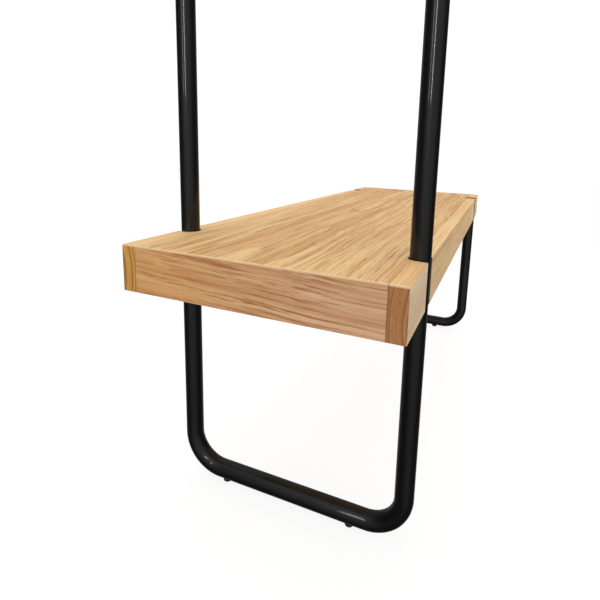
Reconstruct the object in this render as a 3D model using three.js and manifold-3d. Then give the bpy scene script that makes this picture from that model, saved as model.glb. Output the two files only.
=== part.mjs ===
// Oak shelf on two black steel tube loops, the left one standing tall as a rail frame.
// Millimetres. X runs along the shelf, Y across it, Z up from the surface it stands on.
import * as THREE from 'three';
import { mergeVertices } from 'three/addons/utils/BufferGeometryUtils.js';
import Module from 'manifold-3d';

const wasm = await Module();
wasm.setup();

// ---- Driving dimensions ----------------------------------------------------------------

const GAP = 0.3; // glue line or free play kept between neighbouring pieces

const shelf = { length: 940, width: 350, thickness: 58, top: 380 };
const board = { side: 20, top: 20, end: 20, bottom: 12 };
const tube = { radius: 12.5, wall: 1.5, bend: 50 };
const frame = { inset: 108, proud: 1, height: 800, capBelowTop: 4 };
const slot = { play: 1 };
const glide = { radius: 6.5, flat: 4.5, height: 4.5, stem: 2.8, reach: 11, spacing: 196, offset: 6 };
const block = { length: 90, width: 60 };
const rib = { width: 18, spacing: 100 };
const plate = { length: 44, width: 62, thickness: 4, corner: 6, screwSpacing: 24, screwInset: 46 };
const screw = { radius: 3, head: 5.25, headHeight: 3.3, reach: 28, socket: 2.3, socketDepth: 2 };
const insert = { radius: 4.5, length: 13 };
const spigot = { length: 80, wall: 2 };
const cap = { flange: 2, plug: 12 };

const BEND_STEPS = 6; // stations round each quarter bend
const TUBE_SIDES = 24;
const SMALL_SIDES = 16; // sides of screws, inserts, glides and their holes

// ---- Places that follow from them ------------------------------------------------------

const halfLength = shelf.length / 2;
const halfWidth = shelf.width / 2;
const frameX = halfLength - frame.inset;
const tubeY = halfWidth + frame.proud - tube.radius;
const slotRadius = tube.radius + slot.play;
const bore = tube.radius - tube.wall;
const coreHalf = halfWidth - board.side; // half the width between the side boards
const underside = shelf.top - shelf.thickness;
const jointHeight = shelf.top - shelf.thickness / 2;
const runHeight = glide.height + tube.radius; // axis of the tube run near the floor
const cavityBottom = underside + board.bottom;
const cavityTop = shelf.top - board.top;
const plateTop = underside - GAP;
const plateBottom = plateTop - plate.thickness;

// ---- Finishes --------------------------------------------------------------------------

const finish = {
  oakFace: new THREE.MeshStandardMaterial({ color: 0xd9b380, roughness: 0.55, metalness: 0 }),
  oakEnd: new THREE.MeshStandardMaterial({ color: 0xcc9a66, roughness: 0.6, metalness: 0 }),
  oakSide: new THREE.MeshStandardMaterial({ color: 0xcfb48c, roughness: 0.6, metalness: 0 }),
  innerWood: new THREE.MeshStandardMaterial({ color: 0xc8b48f, roughness: 0.75, metalness: 0 }),
  blackSteel: new THREE.MeshStandardMaterial({ color: 0x1c1c1e, roughness: 0.45, metalness: 0.2 }),
  zincSteel: new THREE.MeshStandardMaterial({ color: 0xb8babd, roughness: 0.35, metalness: 0.9 }),
  blackPlastic: new THREE.MeshStandardMaterial({ color: 0x161616, roughness: 0.6, metalness: 0 }),
};

// ---- Solids ----------------------------------------------------------------------------

function toSolid(geometry) {
  const bare = geometry.clone();
  bare.deleteAttribute('normal');
  bare.deleteAttribute('uv');
  const merged = mergeVertices(bare, 1e-4);
  return new wasm.Manifold(new wasm.Mesh({
    numProp: 3,
    vertProperties: new Float32Array(merged.attributes.position.array),
    triVerts: new Uint32Array(merged.index.array),
  }));
}

function toGeometry(solid) {
  const mesh = solid.getMesh();
  const geometry = new THREE.BufferGeometry();
  geometry.setAttribute('position', new THREE.BufferAttribute(mesh.vertProperties, 3));
  geometry.setIndex(new THREE.BufferAttribute(mesh.triVerts, 1));
  const flat = geometry.toNonIndexed();
  flat.computeVertexNormals();
  return flat;
}

function piece(name, geometry, material, [x, y, z] = [0, 0, 0]) {
  const mesh = new THREE.Mesh(geometry, material);
  mesh.name = name;
  mesh.position.set(x, y, z);
  return mesh;
}

function box([x0, x1], [y0, y1], [z0, z1]) {
  return new THREE.BoxGeometry(x1 - x0, y1 - y0, z1 - z0)
    .translate((x0 + x1) / 2, (y0 + y1) / 2, (z0 + z1) / 2);
}

// A cylinder standing on Z between two heights.
function post(radius, [z0, z1], sides = SMALL_SIDES) {
  return new THREE.CylinderGeometry(radius, radius, z1 - z0, sides)
    .rotateX(Math.PI / 2)
    .translate(0, 0, (z0 + z1) / 2);
}

// A body turned about Z from [radius, height] pairs that start and end on the axis.
function turned(profile, sides = SMALL_SIDES) {
  const points = profile.map(([radius, height]) => new THREE.Vector2(radius, height));
  return new THREE.LatheGeometry(points, sides).rotateX(Math.PI / 2);
}

// An outline in the XZ plane carried across Y between two sides.
function across(outline, [y0, y1]) {
  const shape = new THREE.Shape(outline.map(([x, z]) => new THREE.Vector2(x, z)));
  return new THREE.ExtrudeGeometry(shape, { depth: y1 - y0, bevelEnabled: false })
    .rotateX(Math.PI / 2)
    .translate(0, y1, 0);
}

// ---- Tube loops ------------------------------------------------------------------------

// A U-shaped centreline in the YZ plane: two legs, two quarter bends and the run between.
// Its stations stand only at the ends of the straight lengths and round the bends.
class UPath extends THREE.Curve {
  constructor(openZ, closedZ) {
    super();
    const side = Math.sign(openZ - closedZ);
    const bend = (hand, turn) => {
      const angle = (turn * Math.PI) / 2;
      const point = new THREE.Vector3(
        0,
        hand * (tubeY - tube.bend * (1 - Math.cos(angle))),
        closedZ + side * tube.bend * (1 - Math.sin(angle)),
      );
      const tangent = new THREE.Vector3(0, -Math.sin(angle), -hand * side * Math.cos(angle));
      return { point, tangent };
    };
    const end = (hand) => ({
      point: new THREE.Vector3(0, hand * tubeY, openZ),
      tangent: new THREE.Vector3(0, 0, -hand * side),
    });
    this.stations = [end(1)];
    for (let i = 0; i <= BEND_STEPS; i++) this.stations.push(bend(1, i / BEND_STEPS));
    for (let i = BEND_STEPS; i >= 0; i--) this.stations.push(bend(-1, i / BEND_STEPS));
    this.stations.push(end(-1));
  }

  get steps() {
    return this.stations.length - 1;
  }

  getUtoTmapping(u) {
    return u;
  }

  getPoint(t) {
    return this.stations[Math.round(t * this.steps)].point.clone();
  }

  getTangent(t) {
    return this.stations[Math.round(t * this.steps)].tangent.clone();
  }
}

function bentTube(openZ, closedZ) {
  const section = new THREE.Shape().absarc(0, 0, tube.radius, 0, 2 * Math.PI);
  section.holes.push(new THREE.Path().absarc(0, 0, bore, 0, 2 * Math.PI));
  const path = new UPath(openZ, closedZ);
  return new THREE.ExtrudeGeometry(section, {
    steps: path.steps,
    curveSegments: TUBE_SIDES / 2,
    extrudePath: path,
  });
}

const glideY = [1, -1].map((hand) => glide.offset + (hand * glide.spacing) / 2);

// A leg loop has a hole under the floor run for the stem of each glide.
function legLoop(topHeight) {
  let solid = toSolid(bentTube(topHeight, runHeight));
  for (const y of glideY) {
    const hole = post(glide.stem + GAP, [0, runHeight]).translate(0, y, 0);
    solid = solid.subtract(toSolid(hole));
  }
  return toGeometry(solid);
}

// A domed foot, saddled to the tube, with a stem that presses up through its hole.
function glideFoot() {
  const saddleTop = glide.height + 2;
  const foot = toSolid(turned([
    [0, 0], [glide.flat, 0], [glide.radius - 0.6, 0.9], [glide.radius, 2.2],
    [glide.radius, saddleTop], [0, saddleTop],
  ]));
  const run = new THREE.CylinderGeometry(
    tube.radius + GAP, tube.radius + GAP, 4 * glide.radius, 2 * TUBE_SIDES,
  ).translate(0, 0, runHeight);
  const stem = post(glide.stem, [glide.height / 2, glide.reach]);
  return toGeometry(foot.subtract(toSolid(run)).add(toSolid(stem)));
}

function spigotSleeve() {
  const half = spigot.length / 2;
  const radius = bore - GAP;
  const outer = toSolid(post(radius, [-half, half], TUBE_SIDES));
  const inner = toSolid(post(radius - spigot.wall, [-half - 1, half + 1], TUBE_SIDES));
  return toGeometry(outer.subtract(inner));
}

// The plug's own top stands capBelowTop under the face of the shelf.
function endCap() {
  const plugRadius = bore - GAP;
  return turned([
    [0, -cap.plug], [plugRadius - 1, -cap.plug], [plugRadius, 1 - cap.plug], [plugRadius, GAP],
    [tube.radius, GAP], [tube.radius, cap.flange - 0.8], [tube.radius - 1, cap.flange],
    [0, cap.flange],
  ], TUBE_SIDES);
}

// ---- Fixings ---------------------------------------------------------------------------

// Screw places of one plate, in the frame of a leg on the +Y side.
const screwPlaces = [-1, 1].map((side) => [(side * plate.screwSpacing) / 2, tubeY - plate.screwInset]);

// A flat bracket welded to the leg, its outer edge notched round the tube.
function mountingPlate(hand) {
  const halfX = plate.length / 2;
  const outerY = tubeY - 2;
  const innerY = outerY - plate.width;
  const outline = new THREE.Shape();
  outline.moveTo(-halfX, outerY);
  outline.lineTo(-halfX, innerY + plate.corner);
  outline.absarc(-halfX + plate.corner, innerY + plate.corner, plate.corner,
    Math.PI, 1.5 * Math.PI);
  outline.absarc(halfX - plate.corner, innerY + plate.corner, plate.corner,
    -0.5 * Math.PI, 0);
  outline.lineTo(halfX, outerY);
  const blank = new THREE.ExtrudeGeometry(outline, {
    depth: plate.thickness, bevelEnabled: false, curveSegments: 4,
  });
  const through = [-1, plate.thickness + 1];
  let solid = toSolid(blank)
    .subtract(toSolid(post(tube.radius + GAP, through, TUBE_SIDES).translate(0, tubeY, 0)));
  for (const [x, y] of screwPlaces) {
    solid = solid.subtract(toSolid(post(screw.radius + GAP, through).translate(x, y, 0)));
  }
  const geometry = toGeometry(solid);
  return hand > 0 ? geometry : geometry.rotateZ(Math.PI);
}

// Button-headed screw with a hexagon socket, its shank pointing up from the head.
function buttonScrew() {
  const body = toSolid(turned([
    [0, -screw.headHeight], [screw.head * 0.6, -screw.headHeight],
    [screw.head * 0.92, -screw.headHeight * 0.55], [screw.head, 0], [screw.radius, 0],
    [screw.radius, screw.reach - 1], [screw.radius - 1, screw.reach], [0, screw.reach],
  ]));
  const socket = post(screw.socket, [-screw.headHeight - 1, screw.socketDepth - screw.headHeight], 6);
  return toGeometry(body.subtract(toSolid(socket)));
}

function threadedInsert() {
  const outer = toSolid(post(insert.radius, [0, insert.length]));
  return toGeometry(outer.subtract(toSolid(post(screw.radius + GAP, [-1, insert.length + 1]))));
}

// ---- The shelf -------------------------------------------------------------------------

// A slot open to the side face, with a round inner end, cut through the whole thickness.
function slotCutter(x, hand) {
  const heights = [underside - 1, shelf.top + 1];
  const round = toSolid(post(slotRadius, heights, 2 * TUBE_SIDES).translate(x, hand * tubeY, 0));
  const mouth = [hand * tubeY, hand * (halfWidth + 1)].sort((a, b) => a - b);
  return round.add(toSolid(box([x - slotRadius, x + slotRadius], mouth, heights)));
}

const slots = [-1, 1].flatMap((end) => [-1, 1].map((hand) => slotCutter(end * frameX, hand)));

function slotted(geometry) {
  return slots.reduce((solid, cutter) => solid.subtract(cutter), toSolid(geometry));
}

// The top panel is mitred into the end boards, so its edges rise to the outer arrises.
function topPanel() {
  const inner = halfLength - board.end;
  return toGeometry(slotted(across([
    [-halfLength, shelf.top], [-inner, cavityTop], [inner, cavityTop], [halfLength, shelf.top],
  ], [GAP - coreHalf, coreHalf - GAP])));
}

function endBoard(end) {
  const outline = [
    [halfLength, underside], [halfLength, shelf.top - 1.5 * GAP],
    [halfLength - board.end, cavityTop - 1.5 * GAP], [halfLength - board.end, underside],
  ].map(([x, z]) => [end * x, z]);
  return across(outline, [GAP - coreHalf, coreHalf - GAP]);
}

function bottomPanel() {
  const halfX = halfLength - board.end - GAP;
  let solid = slotted(box([-halfX, halfX], [GAP - coreHalf, coreHalf - GAP],
    [underside, cavityBottom]));
  const through = [underside - 1, cavityBottom + 1];
  for (const end of [-1, 1]) {
    for (const hand of [-1, 1]) {
      for (const [x, y] of screwPlaces) {
        const hole = post(screw.radius + GAP, through).translate(end * frameX + x, hand * y, 0);
        solid = solid.subtract(toSolid(hole));
      }
    }
  }
  return toGeometry(solid);
}

// The slots divide each side board into a short, a long and a short length.
function sideBoard(hand, from, to) {
  const band = [hand * (coreHalf + GAP / 2), hand * halfWidth].sort((a, b) => a - b);
  return toGeometry(slotted(box([from, to], band, [underside, shelf.top])));
}

// A solid block behind each slot takes the inserts for the plate's screws.
function mountingBlock(end, hand) {
  const x = end * frameX;
  const outer = coreHalf - GAP;
  const band = [hand * (outer - block.width), hand * outer].sort((a, b) => a - b);
  let solid = slotted(box([x - block.length / 2, x + block.length / 2], band,
    [cavityBottom + GAP, cavityTop - GAP]));
  for (const [dx, y] of screwPlaces) {
    const depth = [cavityBottom, cavityBottom + insert.length + 4 * GAP];
    const hole = post(insert.radius + GAP, depth).translate(x + dx, hand * y, 0);
    solid = solid.subtract(toSolid(hole));
  }
  return toGeometry(solid);
}

function stiffener(hand) {
  const halfX = halfLength - board.end - GAP;
  const y = (hand * rib.spacing) / 2;
  return box([-halfX, halfX], [y - rib.width / 2, y + rib.width / 2],
    [cavityBottom + GAP, cavityTop - GAP]);
}

// ---- Assembly --------------------------------------------------------------------------

const ends = [['left', -1], ['right', 1]];
const hands = [['back', 1], ['front', -1]];

const slabGroup = new THREE.Group();
slabGroup.add(piece('top_panel', topPanel(), finish.oakFace));
slabGroup.add(piece('bottom_panel', bottomPanel(), finish.oakSide));
for (const [endName, end] of ends) {
  slabGroup.add(piece(`end_board_${endName}`, endBoard(end), finish.oakEnd));
}
for (const [handName, hand] of hands) {
  const lengths = [
    ['left', -halfLength, -frameX], ['middle', -frameX, frameX], ['right', frameX, halfLength],
  ];
  for (const [place, from, to] of lengths) {
    slabGroup.add(piece(`side_board_${handName}_${place}`, sideBoard(hand, from, to), finish.oakSide));
  }
  slabGroup.add(piece(`stiffener_${handName}`, stiffener(hand), finish.innerWood));
  for (const [endName, end] of ends) {
    const name = `mounting_block_${endName}_${handName}`;
    slabGroup.add(piece(name, mountingBlock(end, hand), finish.innerWood));
  }
}

// What both leg loops carry: plates, screws, inserts and glides.
function legFittings(endName, group) {
  const foot = glideFoot();
  const fixing = buttonScrew();
  const nut = threadedInsert();
  hands.forEach(([handName, hand], index) => {
    const corner = `${endName}_${handName}`;
    group.add(piece(`mounting_plate_${corner}`, mountingPlate(hand), finish.blackSteel,
      [0, 0, plateBottom]));
    group.add(piece(`glide_${corner}`, foot, finish.blackPlastic, [0, glideY[index], 0]));
    screwPlaces.forEach(([x, y], number) => {
      group.add(piece(`plate_screw_${corner}_${number + 1}`, fixing, finish.zincSteel,
        [x, hand * y, plateBottom - GAP]));
      group.add(piece(`threaded_insert_${corner}_${number + 1}`, nut, finish.zincSteel,
        [x, hand * y, cavityBottom + 2 * GAP]));
    });
  });
}

const tallFrame = new THREE.Group();
tallFrame.position.x = -frameX;
tallFrame.add(piece('leg_loop_left', legLoop(jointHeight - GAP), finish.blackSteel));
tallFrame.add(piece('rail_loop', bentTube(jointHeight + GAP, frame.height - tube.radius),
  finish.blackSteel));
for (const [handName, hand] of hands) {
  tallFrame.add(piece(`spigot_${handName}`, spigotSleeve(), finish.zincSteel,
    [0, hand * tubeY, jointHeight]));
}
legFittings('left', tallFrame);

const lowFrame = new THREE.Group();
lowFrame.position.x = frameX;
const cappedHeight = shelf.top - frame.capBelowTop - cap.flange;
lowFrame.add(piece('leg_loop_right', legLoop(cappedHeight), finish.blackSteel));
for (const [handName, hand] of hands) {
  lowFrame.add(piece(`end_cap_${handName}`, endCap(), finish.blackPlastic,
    [0, hand * tubeY, cappedHeight]));
}
legFittings('right', lowFrame);

const hutch = new THREE.Group();
hutch.add(slabGroup, tallFrame, lowFrame);

export default hutch;
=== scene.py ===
"""Oak shelf on two black tube loops: the finished look of a desk hutch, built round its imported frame.

Run as a script in Blender. The frame gives the places and main sizes. The operators below make the
boards, tubes and fittings that stand for the frame's plain nodes, and finish the nodes that stay.
"""

import math
from contextlib import contextmanager
from typing import NamedTuple

import bmesh
import bpy
from mathutils import Matrix, Vector


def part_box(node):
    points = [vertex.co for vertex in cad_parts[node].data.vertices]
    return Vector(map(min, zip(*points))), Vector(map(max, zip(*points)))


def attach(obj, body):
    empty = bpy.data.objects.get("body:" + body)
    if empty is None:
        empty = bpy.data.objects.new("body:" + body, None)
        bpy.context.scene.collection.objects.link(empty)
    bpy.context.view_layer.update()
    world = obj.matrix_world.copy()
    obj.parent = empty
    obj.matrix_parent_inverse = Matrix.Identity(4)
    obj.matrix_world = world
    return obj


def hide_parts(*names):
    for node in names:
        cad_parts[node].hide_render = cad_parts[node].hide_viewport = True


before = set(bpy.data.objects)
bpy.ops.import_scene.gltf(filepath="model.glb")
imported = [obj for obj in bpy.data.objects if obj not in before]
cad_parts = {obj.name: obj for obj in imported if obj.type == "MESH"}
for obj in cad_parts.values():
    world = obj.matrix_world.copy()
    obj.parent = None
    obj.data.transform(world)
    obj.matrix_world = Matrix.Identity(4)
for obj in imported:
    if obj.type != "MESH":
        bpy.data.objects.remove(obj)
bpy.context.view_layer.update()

bl_info = {
    "name": "Desk Hutch",
    "version": (1, 0, 0),
    "blender": (4, 5, 0),
    "location": "View3D > Sidebar > Hutch",
    "description": "Oak shelf on two black steel tube loops",
    "category": "Add Mesh",
}

BODY = "root"
MM = 0.001

# ---- Places, all taken from the frame --------------------------------------------------


def centre_of(node):
    low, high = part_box(node)
    return (low + high) / 2


ENDS = {"left": -1, "right": 1}
HANDS = {"back": 1, "front": -1}
CORNERS = [(end, hand) for end in ENDS for hand in HANDS]
ALL_SLOTS = [(end, hand) for end in ENDS.values() for hand in HANDS.values()]
SHELF_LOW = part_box("bottom_panel")[0].z
SHELF_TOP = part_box("top_panel")[1].z
SHELF_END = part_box("top_panel")[1].x
SHELF_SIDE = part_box("side_board_back_left")[1].y
CORE_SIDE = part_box("top_panel")[1].y
BOARD_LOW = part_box("side_board_back_left")[0].y
LOOP_LOW, LOOP_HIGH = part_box("leg_loop_left")
TUBE = (LOOP_HIGH.x - LOOP_LOW.x) / 2
TUBE_SIDE = LOOP_HIGH.y - TUBE
FRAME_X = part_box("leg_loop_right")[1].x - TUBE
RUN_HEIGHT = LOOP_LOW.z + TUBE
RAIL_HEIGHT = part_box("rail_loop")[1].z - TUBE
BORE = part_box("spigot_back")[1].x + FRAME_X

# ---- Sizes of the fittings --------------------------------------------------------------

SCREW_NUMBERS = (1, 2)
SCREW_HOLE = 3.3 * MM
SCREW_SHANK = 3.0 * MM
SCREW_HEAD_HEIGHT = 3.3 * MM
SCREW_DOME = 2.0 * MM
SCREW_TIP = 0.6 * MM
SOCKET_RADIUS = 2.3 * MM
SOCKET_DEPTH = 2.0 * MM
GLIDE_HOLE = 3.1 * MM
GLIDE_STEM = 2.8 * MM
GLIDE_DOME = 2.0 * MM
GLIDE_REACH = 2.0 * MM
SADDLE_PLAY = 0.2 * MM
SADDLE_LENGTH = 60 * MM
CAP_LIFT = 0.3 * MM
CAP_WALL = 1.6 * MM
CAP_HOLLOW = 9.0 * MM
CAP_EDGE = 0.9 * MM
PLATE_CORNER = 6.0 * MM
PLATE_EDGE = 0.5 * MM
NOTCH_PLAY = 0.3 * MM

# ---- Care in cutting and picking --------------------------------------------------------

# How far a cutter runs past what it cuts, how near two places count as one, and how near points merge.
OVERRUN = 2.0 * MM
SAME = 0.01 * MM
MERGE = 0.001 * MM

# How near a point counts as on the wall of a slot, and how straight a face points when picked.
WALL_SLACK = 0.05 * MM
FACING = 0.9

# The part of the frame's glue gap that a core board fills.
GLUE_FILL = 0.8

# Flats round a hole or stem, a bar, a notch or cap, a slot or saddle, and the socket of a screw.
HOLE_SIDES = 32
BAR_SIDES = 48
CAP_SIDES = 64
SLOT_SIDES = 96
HEXAGON = 6

# The lengths that the slots divide a side board into, and the slots that each one meets.
LENGTHS = {"left": (-1,), "middle": (-1, 1), "right": (1,)}

# ---- Settings ---------------------------------------------------------------------------


class HutchSizes(bpy.types.PropertyGroup):
    arris: bpy.props.FloatProperty(
        name="Arris", description="Radius of the eased edges of the oak boards",
        default=1.1 * MM, min=0.2 * MM, max=4 * MM, subtype="DISTANCE", unit="LENGTH")
    slot_play: bpy.props.FloatProperty(
        name="Slot play", description="Gap between a tube and its slot",
        default=1 * MM, min=0.3 * MM, max=3 * MM, subtype="DISTANCE", unit="LENGTH")
    slot_ease: bpy.props.FloatProperty(
        name="Slot ease", description="Chamfer on the rim of each slot",
        default=0.5 * MM, min=0.1 * MM, max=2 * MM, subtype="DISTANCE", unit="LENGTH")
    mitre_gap: bpy.props.FloatProperty(
        name="Mitre gap", description="Glue line between the top panel and an end board",
        default=0.1 * MM, min=0.02 * MM, max=0.5 * MM, subtype="DISTANCE", unit="LENGTH")
    bend: bpy.props.FloatProperty(
        name="Bend radius", description="Radius of each tube bend at its centreline",
        default=50 * MM, min=30 * MM, max=100 * MM, subtype="DISTANCE", unit="LENGTH")
    wall: bpy.props.FloatProperty(
        name="Tube wall", description="Thickness of the tube's wall",
        default=1.5 * MM, min=0.8 * MM, max=3 * MM, subtype="DISTANCE", unit="LENGTH")
    tube_sides: bpy.props.IntProperty(
        name="Tube sides", description="Number of flats round each tube", default=64, min=24, max=128)
    bend_steps: bpy.props.IntProperty(
        name="Bend steps", description="Number of steps round each tube bend", default=28, min=8, max=64)


class HutchFinishes(bpy.types.PropertyGroup):
    oak_pale: bpy.props.FloatVectorProperty(
        name="Oak, pale", description="Smooth late wood between the growth rings",
        subtype="COLOR", size=3, min=0, max=1, default=(0.815, 0.548, 0.268))
    oak_mid: bpy.props.FloatVectorProperty(
        name="Oak, middle", description="The oak's overall colour",
        subtype="COLOR", size=3, min=0, max=1, default=(0.710, 0.428, 0.188))
    oak_dark: bpy.props.FloatVectorProperty(
        name="Oak, dark", description="Open pores and dark streaks",
        subtype="COLOR", size=3, min=0, max=1, default=(0.375, 0.160, 0.046))
    black: bpy.props.FloatVectorProperty(
        name="Black coat", description="Powder coat of the tubes and plates",
        subtype="COLOR", size=3, min=0, max=1, default=(0.0050, 0.0050, 0.0052))
    plastic: bpy.props.FloatVectorProperty(
        name="Black plastic", description="Caps and glides",
        subtype="COLOR", size=3, min=0, max=1, default=(0.012, 0.012, 0.012))
    zinc: bpy.props.FloatVectorProperty(
        name="Zinc", description="Plating of the screws, inserts and spigots",
        subtype="COLOR", size=3, min=0, max=1, default=(0.56, 0.57, 0.58))


class HutchStage(bpy.types.PropertyGroup):
    floor: bpy.props.FloatVectorProperty(
        name="Floor", description="Colour of the studio floor",
        subtype="COLOR", size=3, min=0, max=1, default=(0.14, 0.14, 0.14))
    floor_glow: bpy.props.FloatProperty(
        name="Floor glow", description="Brightness that keeps the floor pale in the shade", default=0.885,
        min=0, max=2)
    ambient: bpy.props.FloatProperty(
        name="Ambient", description="Brightness of the studio round the object", default=0.76, min=0, max=3)
    key: bpy.props.FloatProperty(
        name="Overhead", description="Power of the overhead softbox", default=25, min=0, subtype="POWER",
        unit="POWER")
    strips: bpy.props.FloatProperty(
        name="Strips", description="Power of the brighter upright strip light", default=9.0, min=0,
        subtype="POWER", unit="POWER")
    fill: bpy.props.FloatProperty(
        name="Low fill", description="Power of the low light by the front side's right end", default=1.15,
        min=0, subtype="POWER", unit="POWER")
    sheen: bpy.props.FloatProperty(
        name="Sheen", description="Brightness of the pale side of the studio in reflections", default=0.64,
        min=0, max=3)
    lens: bpy.props.FloatProperty(
        name="Lens", description="Focal length of the camera", default=25.57, min=10, max=200,
        subtype="DISTANCE_CAMERA", unit="CAMERA")


# ---- Modelling by operators -------------------------------------------------------------


def select_only(piece):
    bpy.ops.object.select_all(action="DESELECT")
    piece.select_set(True)
    bpy.context.view_layer.objects.active = piece


@contextmanager
def shaping(piece):
    """Edit mode on one piece, with nothing in it selected."""
    select_only(piece)
    bpy.ops.object.mode_set(mode="EDIT")
    bpy.ops.mesh.select_all(action="DESELECT")
    yield
    bpy.ops.object.mode_set(mode="OBJECT")


def pick_faces(test):
    """Selects the faces for which test(centre, normal) holds."""
    bpy.ops.mesh.select_mode(type="FACE")
    mesh = bmesh.from_edit_mesh(bpy.context.edit_object.data)
    for face in mesh.faces:
        face.select_set(test(face.calc_center_median(), face.normal))
    mesh.select_flush_mode()
    bmesh.update_edit_mesh(bpy.context.edit_object.data)


def pick_edges(test):
    """Selects the edges for which test(middle) holds."""
    bpy.ops.mesh.select_mode(type="EDGE")
    mesh = bmesh.from_edit_mesh(bpy.context.edit_object.data)
    for edge in mesh.edges:
        middle = (edge.verts[0].co + edge.verts[1].co) / 2
        edge.select_set(test(middle))
    mesh.select_flush_mode()
    bmesh.update_edit_mesh(bpy.context.edit_object.data)


def at(value, target):
    """Whether two places along one axis count as one."""
    return abs(value - target) < SAME


def named(name):
    """The new primitive, with its place and size put into its mesh."""
    piece = bpy.context.object
    piece.name = piece.data.name = name
    bpy.ops.object.transform_apply(location=True, rotation=True, scale=True)
    return piece


def block(name, low, high):
    bpy.ops.object.select_all(action="DESELECT")
    bpy.ops.mesh.primitive_cube_add(size=1, location=(Vector(low) + Vector(high)) / 2,
                                    scale=Vector(high) - Vector(low))
    return named(name)


def post(name, radius, x, y, low, high, sides=BAR_SIDES):
    """A round bar standing between two heights."""
    bpy.ops.object.select_all(action="DESELECT")
    bpy.ops.mesh.primitive_cylinder_add(vertices=sides, radius=radius, depth=high - low,
                                        location=(x, y, (low + high) / 2))
    return named(name)


def apply_modifier(piece, kind, **settings):
    modifier = piece.modifiers.new(kind.title(), kind)
    for key, value in settings.items():
        setattr(modifier, key, value)
    select_only(piece)
    bpy.ops.object.modifier_apply(modifier=modifier.name)


def combine(piece, tool, operation="DIFFERENCE"):
    """Cuts the tool out of the piece, or joins it on, and throws the tool away."""
    apply_modifier(piece, "BOOLEAN", object=tool, operation=operation, solver="EXACT")
    bpy.data.objects.remove(tool)


def ease(piece, radius, segments, test):
    """Rounds the edges whose middles pass the test."""
    with shaping(piece):
        pick_edges(test)
        bpy.ops.mesh.bevel(offset=radius, segments=segments, affect="EDGES", clamp_overlap=True)


def smooth(piece, angle=40):
    """Rounded edges shade smoothly, and flat faces stay flat."""
    with shaping(piece):
        bpy.ops.mesh.select_all(action="SELECT")
        bpy.ops.mesh.remove_doubles(threshold=MERGE)
        bpy.ops.mesh.normals_make_consistent(inside=False)
    select_only(piece)
    bpy.ops.object.shade_smooth_by_angle(angle=math.radians(angle))
    apply_modifier(piece, "WEIGHTED_NORMAL", keep_sharp=True)


def copy_of(piece, name):
    twin = piece.copy()
    twin.data = piece.data.copy()
    twin.name = twin.data.name = name
    bpy.context.scene.collection.objects.link(twin)
    return twin


def stand_in(piece, home, node, made_of):
    """The piece itself for its home node, or a copy of it in another node's place."""
    if node == home:
        return piece
    twin = copy_of(piece, f"{made_of}_{node}")
    twin.data.transform(Matrix.Translation(centre_of(node) - centre_of(home)))
    return twin


def settle(piece, node, material):
    """Puts a finished piece in place of its CAD node."""
    piece.data.materials.clear()
    piece.data.materials.append(material)
    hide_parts(node)
    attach(piece, BODY)


def paint_node(node, material):
    """Gives a CAD node that stays its finish."""
    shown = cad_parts[node]
    shown.data.materials.clear()
    shown.data.materials.append(material)


# ---- Materials --------------------------------------------------------------------------

WHITE = (1.0, 1.0, 1.0, 1.0)
MID_GREY = (0.5, 0.5, 0.5, 1.0)
COAT_SPECK = (0.05, 0.05, 0.05, 1.0)
PLASTIC_SCUFF = (0.04, 0.04, 0.04, 1.0)
ZINC_YELLOW = (0.60, 0.57, 0.49, 1.0)
SOFTWOOD = {
    "dark": (0.50, 0.37, 0.21, 1.0), "pale": (0.66, 0.53, 0.34, 1.0), "sawn": (0.40, 0.28, 0.15, 1.0),
}

# How often each fine texture comes along X, Y and Z, in turns to the metre.
TEXTURES = {
    "peel": (850, 850, 850), "grit": (3200, 3200, 3200), "dust": (26, 26, 9), "mould": (2100, 2100, 2100),
    "scuff": (240, 240, 60), "cloud": (300, 300, 300), "turning": (400, 400, 5200), "rings": (4, 110, 110),
    "saw": (900, 300, 300), "floor": (40, 40, 40),
}


class Value:
    """A number on its way through a material: arithmetic on it adds Math nodes."""

    def __init__(self, paint, socket):
        self.paint = paint
        self.socket = socket

    def math(self, operation, *numbers):
        return self.paint.add("ShaderNodeMath", {"operation": operation}, dict(enumerate(numbers)))

    def __add__(self, other):
        return self.math("ADD", self, other)

    def __radd__(self, other):
        return self.math("ADD", other, self)

    def __sub__(self, other):
        return self.math("SUBTRACT", self, other)

    def __rsub__(self, other):
        return self.math("SUBTRACT", other, self)

    def __mul__(self, other):
        return self.math("MULTIPLY", self, other)

    def __rmul__(self, other):
        return self.math("MULTIPLY", other, self)

    def __truediv__(self, other):
        return self.math("DIVIDE", self, other)

    def __rtruediv__(self, other):
        return self.math("DIVIDE", other, self)

    def __abs__(self):
        return self.math("ABSOLUTE", self)

    def at_least(self, low):
        return self.math("MAXIMUM", self, low)

    def fraction(self):
        return self.math("FRACT", self)

    def floor(self):
        return self.math("FLOOR", self)

    def root(self):
        return self.math("SQRT", self)

    def ramp(self, start, stop, low=0.0, high=1.0):
        """Rises smoothly from low to high as the number goes from start to stop."""
        return self.paint.add(
            "ShaderNodeMapRange", {"interpolation_type": "SMOOTHSTEP"},
            {"Value": self, "From Min": start, "From Max": stop, "To Min": low, "To Max": high})


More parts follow.
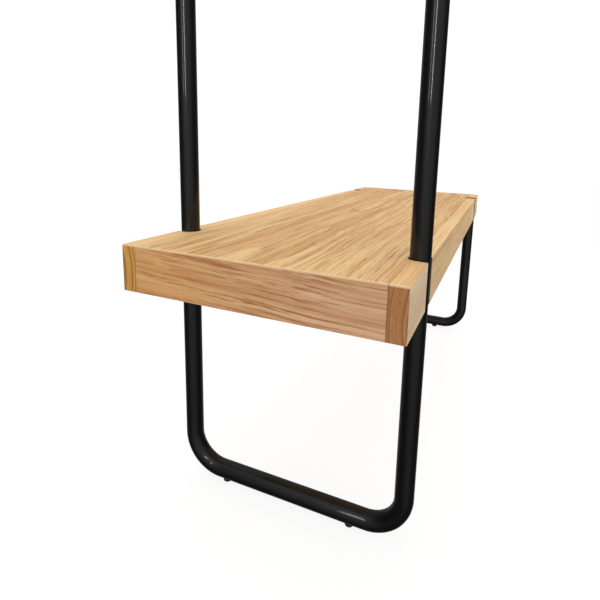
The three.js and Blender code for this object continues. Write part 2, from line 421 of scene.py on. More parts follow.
class Paint:
    """One procedural material, or the studio's air, while its nodes are being added."""

    def __init__(self, owner, coordinates="Object"):
        owner.use_nodes = True
        self.owner = owner
        self.tree = owner.node_tree
        self.tree.nodes.clear()
        self.place = self.add("ShaderNodeTexCoord", out=coordinates)

    def add(self, kind, settings=None, sockets=None, out=0):
        node = self.tree.nodes.new(kind)
        for key, value in (settings or {}).items():
            setattr(node, key, value)
        for key, value in (sockets or {}).items():
            if isinstance(value, Value):
                self.tree.links.new(value.socket, node.inputs[key])
            else:
                node.inputs[key].default_value = value
        return Value(self, node.outputs[out]) if node.outputs else None

    def axis(self, name):
        """One coordinate of the point being shaded, in metres."""
        return self.add("ShaderNodeSeparateXYZ", None, {"Vector": self.place}, out=name)

    def scaled(self, vector, factors):
        return self.add("ShaderNodeVectorMath", {"operation": "MULTIPLY"}, {0: vector, 1: factors})

    def noise(self, vector, detail=2.0, roughness=0.5, out="Fac"):
        return self.add("ShaderNodeTexNoise", {"noise_dimensions": "3D"},
                        {"Vector": vector, "Scale": 1.0, "Detail": detail, "Roughness": roughness},
                        out=out)

    def texture(self, kind, detail=2.0, roughness=0.5):
        """One of the fine textures, fixed to the piece."""
        return self.noise(self.scaled(self.place, TEXTURES[kind]), detail, roughness)

    def mix(self, factor, low, high, blend="MIX"):
        """A blend of two colours."""
        return self.add("ShaderNodeMix", {"data_type": "RGBA", "blend_type": blend},
                        {0: factor, 6: low, 7: high}, out=2)

    def finish(self, sockets, height=None, depth=0.1 * MM, strength=1.0):
        """Adds the surface shader, with a bump from height where there is one."""
        if height is not None:
            sockets["Normal"] = self.add("ShaderNodeBump", None,
                                         {"Height": height, "Distance": depth, "Strength": strength})
        surface = self.add("ShaderNodeBsdfPrincipled", None, sockets)
        self.add("ShaderNodeOutputMaterial", None, {"Surface": surface})
        return self.owner


def opaque(colour):
    return (*colour, 1.0)


def shade(colour, factor):
    return tuple(channel * factor for channel in colour)


# ---- Oak --------------------------------------------------------------------------------

# The pale oak of the painted highlight on an arris, and the painted shade inside a slot.
ARRIS_HIGHLIGHT = (0.88, 0.62, 0.35, 1.0)
SLOT_SHADE = (0.012, 0.009, 0.007, 1.0)

# The tint of a side board's sawn ends against its faces.
SAWN_ENDS = {"front": (0.65, 0.45, 0.33), "back": (0.91, 0.665, 0.285)}

# The tint of a side board, and the tint of the painted sheen on its long outer face.
EDGE_TINTS = {
    "usual": ((1.12, 1.16, 1.20), (1.0, 1.0, 1.0)),
    "side_board_front_left": ((1.05, 1.06, 1.04), (1.10, 1.29, 1.80)),
}

# For each way the grain can run: the turn that brings it onto X. Grain along Y drops a little to the front.
GRAIN_TURNS = {"X": (0, 0, 0), "Y": (-0.05, 0, -math.pi / 2)}

# How far apart two logs lie in the noise, in millimetres for each step of the seed.
LOG_SPACING = 371.0

# How often each figure of the oak comes along and across the grain, in turns to the millimetre.
OAK_FIGURES = {
    "sway": (0.0032, 0.009), "ripple": (0.014, 0.05), "fibre": (0.020, 0.90), "band": (0.0040, 0.11),
    "line": (0.0055, 0.38), "dash": (0.015, 0.85), "blotch": (0.0030, 0.014), "pore": (0.11, 2.6),
}

# How far the ripple pushes the grain aside, in millimetres.
RIPPLE = 3

# The middle that every noise swings about, and the oak's tone when all of them are at it.
NOISE_MIDDLE = 0.5
OAK_TONE = 0.64

# Where a tint starts and is whole: in from the outer face for its painted sheen, from the sawn end, and from
# an arris for its painted highlight.
FACE_DEPTH = (0.8 * MM, 0.2 * MM)
SAWN_DEPTH = (0.9 * MM, 0.2 * MM)
ARRIS_DEPTH = (2.2 * MM, 1.6 * MM)

# Where the dark of a joint and the painted shade in a slot begin to fade and end, from the joint and the
# tube.
JOINT_WIDTH = (0.3 * MM, 1.0 * MM)
SLOT_SHADE_REACH = (1.3 * MM, 1.8 * MM)

# Joints grow fainter at the back, within this distance of the shelf's middle, down to this strength.
JOINT_CHANGE = 10 * MM
BACK_JOINT = 0.3

# How dark a sawn end's rings and a joint are against the dark oak, and how fully the painted arris highlight
# and the painted slot shade cover it.
SAWN_RING = 0.55
JOINT_SHADE = 0.5
ARRIS_HIGHLIGHT_COVER = 0.8
SLOT_SHADE_COVER = 0.93

# The oak of each kind of board, in the terms of oak() below.
TOP_OAK = {"pith": (38, 260), "seed": 1.3, "figure": 1.25, "streaks": 1.5, "seam": 0.1}
UNDER_OAK = {"pith": (-60, 240), "seed": 8.6, "figure": 0.8}
# The end boards carry a painted cool sheen towards the front.
END_OAK = {"tint": (1.06, 0.88, 0.72), "front_sheen": (0.95, 1.06, 1.55), "ring": 4.0, "streaks": 1.6, "seam": 0.75}
EDGE_OAK = {"ring": 2.6, "sway": 6.0, "figure": 0.6, "streaks": 0.7}

# Where the hearts of the end and side boards' logs lie, in millimetres, and what seeds they start from.
END_HEART = (400, 300)
END_SEED = 2.7
EDGE_HEART = (330, 350)
EDGE_SEED = 4.1
EDGE_SEED_STEPS = {"length": 1.7, "hand": 0.9}


def slot_distance(paint):
    """How far a point is from the nearest slot's axis or, further out than the axis, its middle plane."""
    x = abs(abs(paint.axis("X")) - FRAME_X)
    y = (TUBE_SIDE - abs(paint.axis("Y"))).at_least(0.0)
    return (x * x + y * y).root()


def oak(name, grain, pith, seed, tint=(1, 1, 1), ring=4.5, sway=20.0, figure=1.0, streaks=1.0, seam=0.3,
        ends=None, front_sheen=(1, 1, 1), outer=(1, 1, 1)):
    """Open-pored oak, with its grain along X or Y. Pith is where the heart of the log lies across the
    grain, ring the width of a year's growth, and sway how far the log wanders, all in millimetres. Seed
    picks the log, and tint colours it as a whole. Figure and streaks set how strongly the rings and the
    fine dark lines show, and seam how dark the joints are. Ends is the tint of the sawn ends, on a board
    that shows them. The tint given for the front is a painted cool sheen that comes in towards the front,
    and outer the tint of a painted pale sheen on the shelf's long side faces."""
    tones = bpy.context.scene.hutch_finishes
    pale, mid, dark = (opaque(c * t for c, t in zip(tone, tint))
                       for tone in (tones.oak_pale, tones.oak_mid, tones.oak_dark))
    paint = Paint(bpy.data.materials.new(name))
    across = paint.add("ShaderNodeMapping", {"vector_type": "POINT"}, {
        "Vector": paint.place, "Scale": (1 / MM,) * 3, "Rotation": GRAIN_TURNS[grain],
        "Location": (seed * LOG_SPACING, -pith[0], -pith[1])})

    def drawn(kind, place, **settings):
        """Noise drawn out along the grain."""
        along, aside = OAK_FIGURES[kind]
        return paint.noise(paint.scaled(place, (along, aside, aside)), **settings)

    def pushed(place, push, reach):
        """The place, pushed aside across the grain."""
        return paint.add("ShaderNodeVectorMath", {"operation": "MULTIPLY_ADD"},
                         {0: push, 1: (0, reach, reach), 2: place})

    def swing(noise, share):
        """How far a noise is from its middle, times its share."""
        return (noise - NOISE_MIDDLE) * share

    def beyond(distance, edge, depth):
        """Rises from 0 to 1 as a distance comes up to an edge."""
        return distance.ramp(edge - depth[0], edge - depth[1])

    # The log's slow sway bends its rings into long arches on a flat face.
    bent = pushed(across, drawn("sway", across, detail=2, out="Color"), sway)
    bent = pushed(bent, drawn("ripple", across, detail=3, out="Color"), RIPPLE)
    radius = paint.add("ShaderNodeVectorMath", {"operation": "LENGTH"},
                       {0: paint.scaled(bent, (0, 1, 1))}, out="Value")
    rings = radius / ring
    broad = paint.add("ShaderNodeTexNoise", {"noise_dimensions": "1D"},
                      {"W": rings * 0.5 + seed, "Scale": 1.0, "Detail": 3.0, "Roughness": 0.62})
    phase = rings.fraction()
    early = phase.ramp(0.0, 0.55, 1.0, 0.0) * phase.ramp(0.0, 0.07)
    strength = paint.add("ShaderNodeTexNoise", {"noise_dimensions": "1D"},
                         {"W": rings.floor() * 0.37 + seed, "Scale": 3.0, "Detail": 0.0})
    early = early * strength.ramp(0.3, 0.7, 0.15, 1.0)

    # Fibres, vessel lines and pores follow the sway of the grain.
    fibre = drawn("fibre", bent, detail=3, roughness=0.6)
    band = drawn("band", bent, detail=3, roughness=0.6)
    line = drawn("line", bent, detail=4, roughness=0.72)
    dash = drawn("dash", bent, detail=2, roughness=0.6)
    blotch = drawn("blotch", across, detail=2)
    pores = drawn("pore", bent, detail=1).ramp(0.56, 0.70) * (early * 0.6 + 0.4)
    lines = (line.ramp(0.49, 0.63) * 0.9 + dash.ramp(0.52, 0.66) * 0.5) * band.ramp(0.36, 0.60, 0.45, 1.0)

    tone = (OAK_TONE + swing(broad, 1.5 * figure) + swing(fibre, 0.7) + swing(blotch, 0.6)
            - swing(band, 0.8 * streaks))
    colour = paint.mix(tone.ramp(0.35, 0.95), mid, pale)
    colour = paint.mix(tone.ramp(0.45, -0.10) * 0.6, colour, dark)
    colour = paint.mix(early * (0.30 * figure), colour, dark)
    colour = paint.mix(lines * (0.55 * streaks), colour, dark)
    colour = paint.mix(pores * 0.45, colour, dark)

    # Painted sheens by place: a cool sheen towards the front, and a pale sheen on the long outer face.
    end = abs(paint.axis("X"))
    backward = paint.axis("Y")
    side = abs(backward)
    front_sheened = paint.mix(1.0, colour, opaque(front_sheen), "MULTIPLY")
    colour = paint.mix(backward.ramp(CORE_SIDE, -CORE_SIDE), colour, front_sheened)
    side_sheened = paint.mix(1.0, colour, opaque(outer), "MULTIPLY")
    colour = paint.mix(beyond(side, SHELF_SIDE, FACE_DEPTH), colour, side_sheened)

    # Sawn ends are darker and show their rings, and a painted highlight lightens the arris at each end of
    # the top.
    if ends is not None:
        sawn = paint.mix(1.0, colour, opaque(ends), "MULTIPLY")
        sawn = paint.mix(early * 0.35 + broad.ramp(0.52, 0.30) * 0.55, sawn,
                         opaque(shade(dark[:3], SAWN_RING)))
        colour = paint.mix(beyond(end, SHELF_END, SAWN_DEPTH), colour, sawn)
    arris_highlight = beyond(end, SHELF_END, ARRIS_DEPTH) * beyond(paint.axis("Z"), SHELF_TOP, ARRIS_DEPTH)
    colour = paint.mix(arris_highlight * ARRIS_HIGHLIGHT_COVER, colour, ARRIS_HIGHLIGHT)

    # A dark hairline shows where a side board meets the core, less so at the back.
    joint = abs(side - CORE_SIDE).ramp(*JOINT_WIDTH, 1.0, 0.0)
    front = backward.ramp(JOINT_CHANGE, -JOINT_CHANGE, BACK_JOINT, 1.0)
    colour = paint.mix(joint * front * seam, colour, opaque(shade(dark[:3], JOINT_SHADE)))

    # Painted shade: the walls of the slots are darkened almost to black, where little light reaches.
    inside = slot_distance(paint).ramp(*(TUBE + reach for reach in SLOT_SHADE_REACH), 1.0, 0.0)
    colour = paint.mix(inside * SLOT_SHADE_COVER, colour, SLOT_SHADE)

    return paint.finish({
        "Base Color": colour,
        "Roughness": 0.46 + pores * 0.25 + swing(fibre, 0.12) + lines * 0.06,
        "Specular IOR Level": 0.28,
    }, height=fibre * 0.35 - pores - lines * 0.4, depth=0.12 * MM, strength=0.6)


# ---- Other finishes ---------------------------------------------------------------------


def bare_wood(name):
    """Sawn softwood of the hidden blocks and stiffeners."""
    paint = Paint(bpy.data.materials.new(name))
    rings = paint.texture("rings", detail=3)
    saw = paint.texture("saw")
    colour = paint.mix(rings.ramp(0.35, 0.65), SOFTWOOD["dark"], SOFTWOOD["pale"])
    colour = paint.mix(saw.ramp(0.4, 0.7) * 0.3, colour, SOFTWOOD["sawn"])
    return paint.finish({"Base Color": colour, "Roughness": 0.72 + saw * 0.15,
                         "Specular IOR Level": 0.3}, height=rings * 0.5 + saw, depth=0.15 * MM)


def black_coat(name):
    """Black powder coat: a satin ground with fine orange peel, and a thin gloss skin over it."""
    colour = tuple(bpy.context.scene.hutch_finishes.black)
    paint = Paint(bpy.data.materials.new(name))
    peel = paint.texture("peel")
    grit = paint.texture("grit", detail=1)
    dust = paint.texture("dust", detail=4, roughness=0.65)
    tone = paint.mix(dust.ramp(0.35, 0.75), opaque(colour), opaque(shade(colour, 1.5)))
    tone = paint.mix(grit.ramp(0.66, 0.74) * 0.25, tone, COAT_SPECK)
    return paint.finish({"Base Color": tone, "Roughness": 0.32 + dust * 0.08 + peel * 0.04,
                         "Specular IOR Level": 0.15, "Coat Weight": 0.45, "Coat Roughness": 0.07},
                        height=peel + grit * 0.4, depth=0.008 * MM, strength=0.5)


def black_plastic(name):
    """Moulded plastic with a fine spark-eroded texture."""
    colour = tuple(bpy.context.scene.hutch_finishes.plastic)
    paint = Paint(bpy.data.materials.new(name))
    scuff = paint.texture("scuff", detail=3, roughness=0.6)
    tone = paint.mix(scuff.ramp(0.55, 0.8) * 0.6, opaque(colour), PLASTIC_SCUFF)
    return paint.finish({"Base Color": tone, "Roughness": 0.5 + scuff * 0.2},
                        height=paint.texture("mould"), depth=0.03 * MM)


def zinc_plate(name):
    """Bright zinc plating with a faint yellow and blue cast and fine turning marks."""
    colour = tuple(bpy.context.scene.hutch_finishes.zinc)
    paint = Paint(bpy.data.materials.new(name))
    cloud = paint.texture("cloud", detail=3)
    marks = paint.texture("turning", detail=1)
    tone = paint.mix(cloud.ramp(0.35, 0.65), opaque(colour), ZINC_YELLOW)
    return paint.finish({"Base Color": tone, "Metallic": 1.0,
                         "Roughness": 0.26 + marks * 0.16 + cloud * 0.1}, height=marks, depth=0.01 * MM)


def finish_named(name, recipe):
    """A finish that several pieces share, made the first time that one asks for it."""
    return bpy.data.materials.get(name) or recipe(name)


# ---- The oak shelf ----------------------------------------------------------------------


def slot_cutter(end, hand):
    """A slot through the shelf: round at its inner end, open at the side face."""
    sizes = bpy.context.scene.hutch_sizes
    centre_y = hand * TUBE_SIDE
    radius = TUBE + sizes.slot_play
    cutter = post("slot_cutter", radius, end * FRAME_X, centre_y,
                  SHELF_LOW - OVERRUN, SHELF_TOP + OVERRUN, SLOT_SIDES)
    with shaping(cutter):
        bpy.ops.mesh.select_all(action="SELECT")
        bpy.ops.mesh.bisect(plane_co=(0, centre_y, 0), plane_no=(0, hand, 0), use_fill=True,
                            clear_outer=True)
        pick_faces(lambda centre, normal: normal.y * hand > FACING and at(centre.y, centre_y))
        bpy.ops.mesh.extrude_region_move(TRANSFORM_OT_translate={"value": (0, hand * 2 * radius, 0)})
    return cutter


def cut_slots(piece, corners):
    for end, hand in corners:
        combine(piece, slot_cutter(end, hand))


def in_slot(middle):
    """Whether a point lies on the wall of a slot."""
    sizes = bpy.context.scene.hutch_sizes
    x = abs(abs(middle.x) - FRAME_X)
    y = TUBE_SIDE - abs(middle.y)
    return (math.hypot(x, max(y, 0)) < TUBE + sizes.slot_play + WALL_SLACK
            and SHELF_SIDE - abs(middle.y) > WALL_SLACK)


def ease_slots(piece, height):
    """Chamfers the rims of the slots at one height."""
    ease(piece, bpy.context.scene.hutch_sizes.slot_ease, 2,
         lambda middle: at(middle.z, height) and in_slot(middle))


def drill_for_screws(piece, end, hand, low, high):
    """Drills a board or plate for the two screws of one corner."""
    for number in SCREW_NUMBERS:
        hole = centre_of(f"plate_screw_{end}_{hand}_{number}")
        combine(piece, post("screw_hole", SCREW_HOLE, hole.x, hole.y, low - OVERRUN, high + OVERRUN,
                            HOLE_SIDES))


def mitre(piece, end, keep_above, gap=0.0):
    """Cuts a board's end at 45 degrees through the shelf's upper outer edge."""
    away = Vector((end, 0, -1)).normalized()
    with shaping(piece):
        bpy.ops.mesh.select_all(action="SELECT")
        bpy.ops.mesh.bisect(plane_co=Vector((end * SHELF_END, 0, SHELF_TOP)) + away * gap, plane_no=away,
                            use_fill=True, clear_outer=keep_above, clear_inner=not keep_above)


def widened(low, high):
    """A core board's box, with its glue line to the side boards closed to a hairline."""
    extra = Vector((0, (BOARD_LOW - CORE_SIDE) * GLUE_FILL, 0))
    return low - extra, high + extra


class HUTCH_OT_top_panel(bpy.types.Operator):
    """Model the top panel, mitred into the end boards and notched for the tubes"""
    bl_idname = "hutch.top_panel"
    bl_label = "Top panel"

    def execute(self, context):
        sizes = context.scene.hutch_sizes
        low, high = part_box("top_panel")
        panel = block("oak_top_panel", *widened(low, high))
        ease(panel, sizes.arris, 6, lambda middle: at(middle.z, SHELF_TOP) and at(middle.y, 0))
        for end in ENDS.values():
            mitre(panel, end, keep_above=True)
        cut_slots(panel, ALL_SLOTS)
        ease_slots(panel, SHELF_TOP)
        smooth(panel)
        settle(panel, "top_panel", oak("oak_top", "X", **TOP_OAK))
        return {"FINISHED"}


class HUTCH_OT_end_boards(bpy.types.Operator):
    """Model the two end boards, with their grain running across the shelf"""
    bl_idname = "hutch.end_boards"
    bl_label = "End boards"

    def execute(self, context):
        sizes = context.scene.hutch_sizes
        for name, end in ENDS.items():
            low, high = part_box(f"end_board_{name}")
            low, high = widened(low, high)
            board = block(f"oak_end_board_{name}", low, (high.x, high.y, SHELF_TOP))
            ease(board, sizes.arris, 6, lambda middle: at(middle.x, end * SHELF_END) and at(middle.y, 0))
            mitre(board, end, keep_above=False, gap=sizes.mitre_gap)
            smooth(board)
            face = oak(f"oak_end_{name}", "Y", pith=(-end * END_HEART[0], END_HEART[1]),
                       seed=END_SEED + end, **END_OAK)
            settle(board, f"end_board_{name}", face)
        return {"FINISHED"}


def on_arris(middle):
    """Whether a point lies where two of the shelf's outer faces meet."""
    outer_faces = (at(abs(middle.x), SHELF_END), at(abs(middle.y), SHELF_SIDE),
                   at(middle.z, SHELF_TOP) or at(middle.z, SHELF_LOW))
    return sum(outer_faces) > 1


class HUTCH_OT_side_boards(bpy.types.Operator):
    """Model the six lengths of solid oak edging between and beyond the slots"""
    bl_idname = "hutch.side_boards"
    bl_label = "Side boards"

    def execute(self, context):
        sizes = context.scene.hutch_sizes
        for row, (hand_name, hand) in enumerate(HANDS.items()):
            for number, (place, ends) in enumerate(LENGTHS.items()):
                node = f"side_board_{hand_name}_{place}"
                low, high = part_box(node)
                inner = min(abs(low.y), abs(high.y))
                front, back = sorted((hand * inner, hand * SHELF_SIDE))
                board = block(f"oak_{node}", (low.x, front, low.z), (high.x, back, high.z))
                cut_slots(board, [(end, hand) for end in ends])
                ease(board, sizes.arris, 4, on_arris)
                ease_slots(board, SHELF_TOP)
                smooth(board)
                # The long outer face gets a painted sheen where the board's entry gives one.
                tint, outer = EDGE_TINTS.get(node, EDGE_TINTS["usual"])
                seed = EDGE_SEED + EDGE_SEED_STEPS["length"] * number + EDGE_SEED_STEPS["hand"] * row
                edge = oak(f"oak_edge_{hand_name}_{place}", "X", pith=(hand * EDGE_HEART[0], EDGE_HEART[1]),
                           seed=seed, tint=tint, ends=SAWN_ENDS[hand_name], outer=outer, **EDGE_OAK)
                settle(board, node, edge)
        return {"FINISHED"}


class HUTCH_OT_bottom_panel(bpy.types.Operator):
    """Model the bottom panel, notched for the tubes and drilled for the plate screws"""
    bl_idname = "hutch.bottom_panel"
    bl_label = "Bottom panel"

    def execute(self, context):
        low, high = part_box("bottom_panel")
        panel = block("oak_bottom_panel", *widened(low, high))
        cut_slots(panel, ALL_SLOTS)
        for end, hand in CORNERS:
            drill_for_screws(panel, end, hand, low.z, high.z)
        ease_slots(panel, SHELF_LOW)
        smooth(panel)
        settle(panel, "bottom_panel", oak("oak_under", "X", **UNDER_OAK))
        return {"FINISHED"}


class HUTCH_OT_inner_wood(bpy.types.Operator):
    """Finish the stiffeners and mounting blocks inside the shelf"""
    bl_idname = "hutch.inner_wood"
    bl_label = "Inner wood"

    def execute(self, context):
        wood = finish_named("inner_softwood", bare_wood)
        for hand in HANDS:
            paint_node(f"stiffener_{hand}", wood)
        for end, hand in CORNERS:
            paint_node(f"mounting_block_{end}_{hand}", wood)
        return {"FINISHED"}


# ---- The steel loops --------------------------------------------------------------------


def extrude_along(offset):
    bpy.ops.mesh.extrude_edges_move(TRANSFORM_OT_translate={"value": offset})


def bent_loop(name, x, open_height, closed_height):
    """A tube that runs along Z, round a bend, across along Y, round a second bend and back along Z."""
    sizes = bpy.context.scene.hutch_sizes
    side = math.copysign(1, open_height - closed_height)
    bend_height = closed_height + side * sizes.bend
    bend_side = TUBE_SIDE - sizes.bend
    bpy.ops.object.select_all(action="DESELECT")
    bpy.ops.mesh.primitive_circle_add(vertices=sizes.tube_sides, radius=TUBE,
                                      location=(x, TUBE_SIDE, open_height))
    tube = named(name)
    straight = bend_height - open_height
    quarter = side * math.pi / 2
    with shaping(tube):
        bpy.ops.mesh.select_all(action="SELECT")
        extrude_along((0, 0, straight))
        bpy.ops.mesh.spin(steps=sizes.bend_steps, angle=quarter, center=(x, bend_side, bend_height),
                          axis=(1, 0, 0))
        extrude_along((0, -2 * bend_side, 0))
        bpy.ops.mesh.spin(steps=sizes.bend_steps, angle=quarter, center=(x, -bend_side, bend_height),
                          axis=(1, 0, 0))
        extrude_along((0, 0, -straight))
        bpy.ops.mesh.select_all(action="SELECT")
        bpy.ops.mesh.remove_doubles(threshold=SAME)
        bpy.ops.mesh.normals_make_consistent(inside=False)
    return tube


def walled(tube):
    """Gives the bent tube its wall and closes its rims."""
    sizes = bpy.context.scene.hutch_sizes
    apply_modifier(tube, "SOLIDIFY", thickness=sizes.wall, offset=-1, use_even_offset=True)
    return tube


class HUTCH_OT_tube_loops(bpy.types.Operator):
    """Bend the leg loops and the tall rail loop from round tube"""
    bl_idname = "hutch.tube_loops"
    bl_label = "Tube loops"

    def execute(self, context):
        coat = finish_named("black_powder_coat", black_coat)
        for end_name, end in ENDS.items():
            node = f"leg_loop_{end_name}"
            loop = walled(bent_loop(f"steel_{node}", end * FRAME_X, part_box(node)[1].z, RUN_HEIGHT))
            for hand_name in HANDS:
                glide = centre_of(f"glide_{end_name}_{hand_name}")
                combine(loop, post("glide_hole", GLIDE_HOLE, glide.x, glide.y, 0, RUN_HEIGHT, HOLE_SIDES))
            smooth(loop)
            settle(loop, node, coat)
        rail = walled(bent_loop("steel_rail_loop", -FRAME_X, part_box("rail_loop")[0].z, RAIL_HEIGHT))
        smooth(rail)
        settle(rail, "rail_loop", coat)
        return {"FINISHED"}


class HUTCH_OT_end_caps(bpy.types.Operator):
    """Model the caps in the open tops of the far legs"""
    bl_idname = "hutch.end_caps"
    bl_label = "End caps"

    def execute(self, context):
        plastic = finish_named("black_moulding", black_plastic)
        skirt_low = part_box("leg_loop_right")[1].z + CAP_LIFT
        for hand_name in HANDS:
            node = f"end_cap_{hand_name}"
            low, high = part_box(node)
            middle = centre_of(node)
            cap = post(f"plastic_{node}", TUBE, middle.x, middle.y, skirt_low, high.z, CAP_SIDES)
            with shaping(cap):
                pick_faces(lambda centre, normal: normal.z < -FACING)
                bpy.ops.mesh.inset(thickness=TUBE - BORE)
                bpy.ops.mesh.extrude_region_move(TRANSFORM_OT_translate={"value": (0, 0, low.z - skirt_low)})
                bpy.ops.mesh.inset(thickness=CAP_WALL)
                bpy.ops.mesh.extrude_region_move(TRANSFORM_OT_translate={"value": (0, 0, CAP_HOLLOW)})
            ease(cap, CAP_EDGE, 5, lambda middle: at(middle.z, high.z))
            smooth(cap)
            settle(cap, node, plastic)
        return {"FINISHED"}


class HUTCH_OT_mounting_plates(bpy.types.Operator):
    """Model the plates welded to the legs under the shelf"""
    bl_idname = "hutch.mounting_plates"
    bl_label = "Mounting plates"

    def execute(self, context):
        coat = finish_named("black_powder_coat", black_coat)
        for end_name, hand_name in CORNERS:
            node = f"mounting_plate_{end_name}_{hand_name}"
            low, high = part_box(node)
            hand = HANDS[hand_name]
            inner = min(low.y * hand, high.y * hand) * hand
            plate = block(f"steel_{node}", low, high)
            ease(plate, PLATE_CORNER, 6,
                 lambda middle: at(middle.z, (low.z + high.z) / 2) and at(middle.y, inner))
            combine(plate, post("notch", TUBE + NOTCH_PLAY, ENDS[end_name] * FRAME_X, hand * TUBE_SIDE,
                                low.z - OVERRUN, high.z + OVERRUN, CAP_SIDES))
            drill_for_screws(plate, end_name, hand_name, low.z, high.z)
            ease(plate, PLATE_EDGE, 2, lambda middle: at(middle.z, low.z))
            smooth(plate)
            settle(plate, node, coat)
        return {"FINISHED"}


class HUTCH_OT_fixings(bpy.types.Operator):
    """Model the button-headed screws, and finish the inserts and spigots"""
    bl_idname = "hutch.fixings"
    bl_label = "Screws, inserts and spigots"

    def execute(self, context):
        zinc = finish_named("zinc_plating", zinc_plate)
        first = "plate_screw_left_back_1"
        low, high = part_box(first)
        middle = centre_of(first)
        head = (high.x - low.x) / 2
        head_top = low.z + SCREW_HEAD_HEIGHT
        screw = post(f"zinc_{first}", head, middle.x, middle.y, low.z, head_top)
        with shaping(screw):
            pick_faces(lambda centre, normal: normal.z > FACING)
            bpy.ops.mesh.inset(thickness=head - SCREW_SHANK)
            bpy.ops.mesh.extrude_region_move(TRANSFORM_OT_translate={"value": (0, 0, high.z - head_top)})
        ease(screw, SCREW_DOME, 8, lambda middle: at(middle.z, low.z))
        ease(screw, SCREW_TIP, 2, lambda middle: at(middle.z, high.z))
        combine(screw, post("socket", SOCKET_RADIUS, middle.x, middle.y,
                            low.z - OVERRUN, low.z + SOCKET_DEPTH, HEXAGON))
        smooth(screw)
        for end_name, hand_name in CORNERS:
            for number in SCREW_NUMBERS:
                node = f"plate_screw_{end_name}_{hand_name}_{number}"
                settle(stand_in(screw, first, node, "zinc"), node, zinc)
                paint_node(f"threaded_insert_{end_name}_{hand_name}_{number}", zinc)
        for hand_name in HANDS:
            paint_node(f"spigot_{hand_name}", zinc)
        return {"FINISHED"}


class HUTCH_OT_glides(bpy.types.Operator):
    """Model the domed glides under the floor runs"""
    bl_idname = "hutch.glides"
    bl_label = "Glides"

    def execute(self, context):
        plastic = finish_named("black_moulding", black_plastic)
        first = "glide_left_back"
        low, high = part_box(first)
        middle = centre_of(first)
        radius = (high.x - low.x) / 2
        glide = post(f"plastic_{first}", radius, middle.x, middle.y, low.z, LOOP_LOW.z + GLIDE_REACH)
        ease(glide, GLIDE_DOME, 6, lambda middle: at(middle.z, low.z))
        bpy.ops.object.select_all(action="DESELECT")
        bpy.ops.mesh.primitive_cylinder_add(vertices=SLOT_SIDES, radius=TUBE + SADDLE_PLAY,
                                            depth=SADDLE_LENGTH, location=(middle.x, middle.y, RUN_HEIGHT),
                                            rotation=(math.pi / 2, 0, 0))
        combine(glide, named("saddle"))
        combine(glide, post("stem", GLIDE_STEM, middle.x, middle.y, low.z + GLIDE_REACH, high.z,
                            HOLE_SIDES), "UNION")
        smooth(glide)
        for end_name, hand_name in CORNERS:
            node = f"glide_{end_name}_{hand_name}"
            settle(stand_in(glide, first, node, "plastic"), node, plastic)
        return {"FINISHED"}


# ---- Stage ------------------------------------------------------------------------------


class Lamp(NamedTuple):
    """A softbox. Its power is a share of the stage setting that it names, and some rays pass it by."""
    setting: str
    place: tuple
    aim: tuple
    size: tuple
    unseen_by: tuple
    share: float = 1.0


LAMPS = {
    "overhead": Lamp("key", place=(-0.3, 0.2, 2.4), aim=(0, 0, 0.3), size=(2.4, 1.6), unseen_by=("glossy",)),
    "low_fill": Lamp("fill", place=(0.75, -0.5, 0.3), aim=(FRAME_X, -SHELF_SIDE, SHELF_TOP),
                     size=(0.3, 0.3), unseen_by=("glossy", "camera")),
    "strip_left": Lamp("strips", place=(-2.26, 0.37, 1.15), aim=(-FRAME_X, 0, SHELF_TOP),
                       size=(0.14, 0.8), unseen_by=("diffuse",), share=0.32),
    "strip_right": Lamp("strips", place=(-2.26, -0.42, 1.15), aim=(-FRAME_X, 0, SHELF_TOP),
                        size=(0.14, 0.8), unseen_by=("diffuse",)),
}

# The camera stands off the left end, a little above the shelf: metres, degrees and millimetres.
CAMERA_PLACE = (-0.8405, -0.2459, 0.5027)
CAMERA_HEADING = -68.63
CAMERA_PITCH = 80.51
CAMERA_ROLL = 1.94
CAMERA_SHIFT = (-0.0611, -0.1354)
SENSOR_WIDTH = 36

# The nearest thing that the camera shows, the width of the floor in metres, and how mottled it is.
NEAR_LIMIT = 20 * MM
FLOOR_SIZE = 16
FLOOR_MOTTLE = 0.02

# In reflections: the way to the studio's pale side, the least glow, and the opposite side's share.
PALE_SIDE = (-0.86, -0.50, 0.33)
UPWARD = (0, 0, 1)
LEAST_GLOW = 0.03
OPPOSITE_SHARE = 0.4

# How bright the air is to the camera, where 1 is white.
AIR_WHITE = 1.05


def add_camera(look):
    camera = bpy.data.objects.new("camera", bpy.data.cameras.new("camera"))
    camera.data.lens = look.lens
    camera.data.sensor_width = SENSOR_WIDTH
    camera.data.shift_x, camera.data.shift_y = CAMERA_SHIFT
    camera.data.clip_start = NEAR_LIMIT
    heading, pitch, roll = (math.radians(a) for a in (CAMERA_HEADING, CAMERA_PITCH, CAMERA_ROLL))
    camera.matrix_world = (Matrix.Translation(CAMERA_PLACE) @ Matrix.Rotation(heading, 4, "Z")
                           @ Matrix.Rotation(pitch, 4, "X") @ Matrix.Rotation(roll, 4, "Z"))
    bpy.context.scene.collection.objects.link(camera)
    bpy.context.scene.camera = camera


def add_floor(look):
    """A floor that glows a little, and that neither shows in reflections nor throws light back."""
    bpy.ops.object.select_all(action="DESELECT")
    bpy.ops.mesh.primitive_plane_add(size=FLOOR_SIZE)
    floor = named("studio_floor")
    paint = Paint(bpy.data.materials.new("studio_floor"))
    mottle = paint.texture("floor", detail=3) * FLOOR_MOTTLE
    floor.data.materials.append(paint.finish({
        "Base Color": paint.mix(mottle, opaque(look.floor), MID_GREY),
        "Roughness": 0.85, "Specular IOR Level": 0.1,
        "Emission Color": WHITE, "Emission Strength": look.floor_glow}))
    floor.visible_diffuse = floor.visible_glossy = False


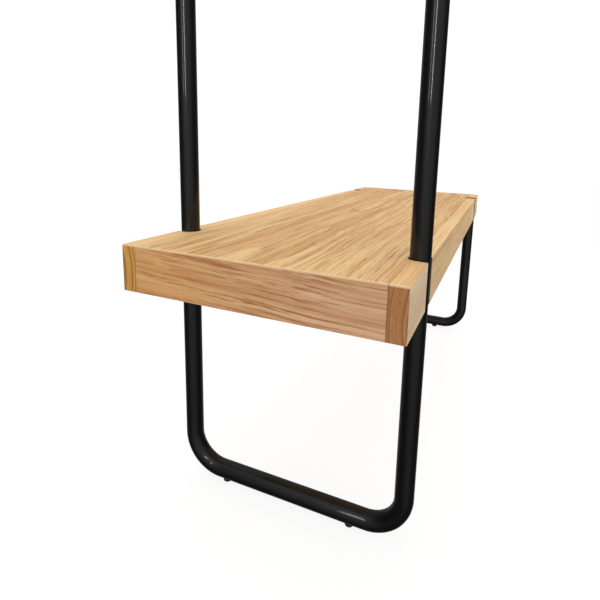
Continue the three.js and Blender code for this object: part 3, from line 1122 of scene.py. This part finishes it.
def add_lamp(name, lamp, power):
    light = bpy.data.lights.new(name, "AREA")
    light.shape = "RECTANGLE"
    light.size, light.size_y = lamp.size
    light.energy = power
    softbox = bpy.data.objects.new(name, light)
    softbox.location = lamp.place
    softbox.rotation_euler = (Vector(lamp.aim) - Vector(lamp.place)).to_track_quat("-Z", "Y").to_euler()
    for ray in lamp.unseen_by:
        setattr(softbox, f"visible_{ray}", False)
    bpy.context.scene.collection.objects.link(softbox)


def light_studio(look):
    """White to the camera, even on surfaces, and in reflections pale on one side and above, with a
    fainter glow on the opposite side."""
    bpy.context.scene.world = bpy.data.worlds.new("studio")
    paint = Paint(bpy.context.scene.world, "Generated")

    def toward(way):
        return paint.add("ShaderNodeVectorMath", {"operation": "DOT_PRODUCT"},
                         {0: paint.place, 1: Vector(way).normalized()}, out="Value")

    def glow(strength):
        return paint.add("ShaderNodeBackground", None, {"Color": WHITE, "Strength": strength})

    def where(ray, otherwise, then):
        return paint.add("ShaderNodeMixShader", None, {
            0: paint.add("ShaderNodeLightPath", out=ray), 1: otherwise, 2: then})

    front = toward(PALE_SIDE)
    pale = (front.ramp(0.15, 1.0, LEAST_GLOW, look.sheen)
            + front.ramp(-0.15, -1.0, 0.0, look.sheen * OPPOSITE_SHARE)
            + toward(UPWARD).ramp(0.35, 1.0, 0.0, look.sheen))
    air = where("Is Glossy Ray", glow(look.ambient), glow(pale))
    paint.add("ShaderNodeOutputWorld", None, {"Surface": where("Is Camera Ray", air, glow(AIR_WHITE))})


class HUTCH_OT_stage(bpy.types.Operator):
    """Set up the floor, the studio light and the camera"""
    bl_idname = "hutch.stage"
    bl_label = "Stage"

    def execute(self, context):
        look = context.scene.hutch_stage
        context.scene.view_settings.view_transform = "Standard"
        add_camera(look)
        add_floor(look)
        light_studio(look)
        for name, lamp in LAMPS.items():
            add_lamp(name, lamp, getattr(look, lamp.setting) * lamp.share)
        return {"FINISHED"}


# ---- Add-on -----------------------------------------------------------------------------

STEPS = (
    HUTCH_OT_stage, HUTCH_OT_top_panel, HUTCH_OT_end_boards, HUTCH_OT_side_boards, HUTCH_OT_bottom_panel,
    HUTCH_OT_inner_wood, HUTCH_OT_tube_loops, HUTCH_OT_end_caps, HUTCH_OT_mounting_plates, HUTCH_OT_fixings,
    HUTCH_OT_glides,
)


class HUTCH_PT_panel(bpy.types.Panel):
    """Lists the settings and the steps that build the hutch"""
    bl_idname = "HUTCH_PT_panel"
    bl_label = "Desk Hutch"
    bl_space_type = "VIEW_3D"
    bl_region_type = "UI"
    bl_category = "Hutch"

    def draw(self, context):
        for group in (context.scene.hutch_sizes, context.scene.hutch_finishes, context.scene.hutch_stage):
            box = self.layout.box()
            for name in group.bl_rna.properties.keys():
                if name not in ("rna_type", "name"):
                    box.prop(group, name)
        for step in STEPS:
            self.layout.operator(step.bl_idname)


GROUPS = {"hutch_sizes": HutchSizes, "hutch_finishes": HutchFinishes, "hutch_stage": HutchStage}
CLASSES = (*GROUPS.values(), *STEPS, HUTCH_PT_panel)


def register():
    for item in CLASSES:
        bpy.utils.register_class(item)
    for name, group in GROUPS.items():
        setattr(bpy.types.Scene, name, bpy.props.PointerProperty(type=group))


def unregister():
    for name in GROUPS:
        delattr(bpy.types.Scene, name)
    for item in reversed(CLASSES):
        bpy.utils.unregister_class(item)


def main():
    register()
    for step in STEPS:
        group, name = step.bl_idname.split(".")
        getattr(getattr(bpy.ops, group), name)()


if __name__ == "__main__":
    main()
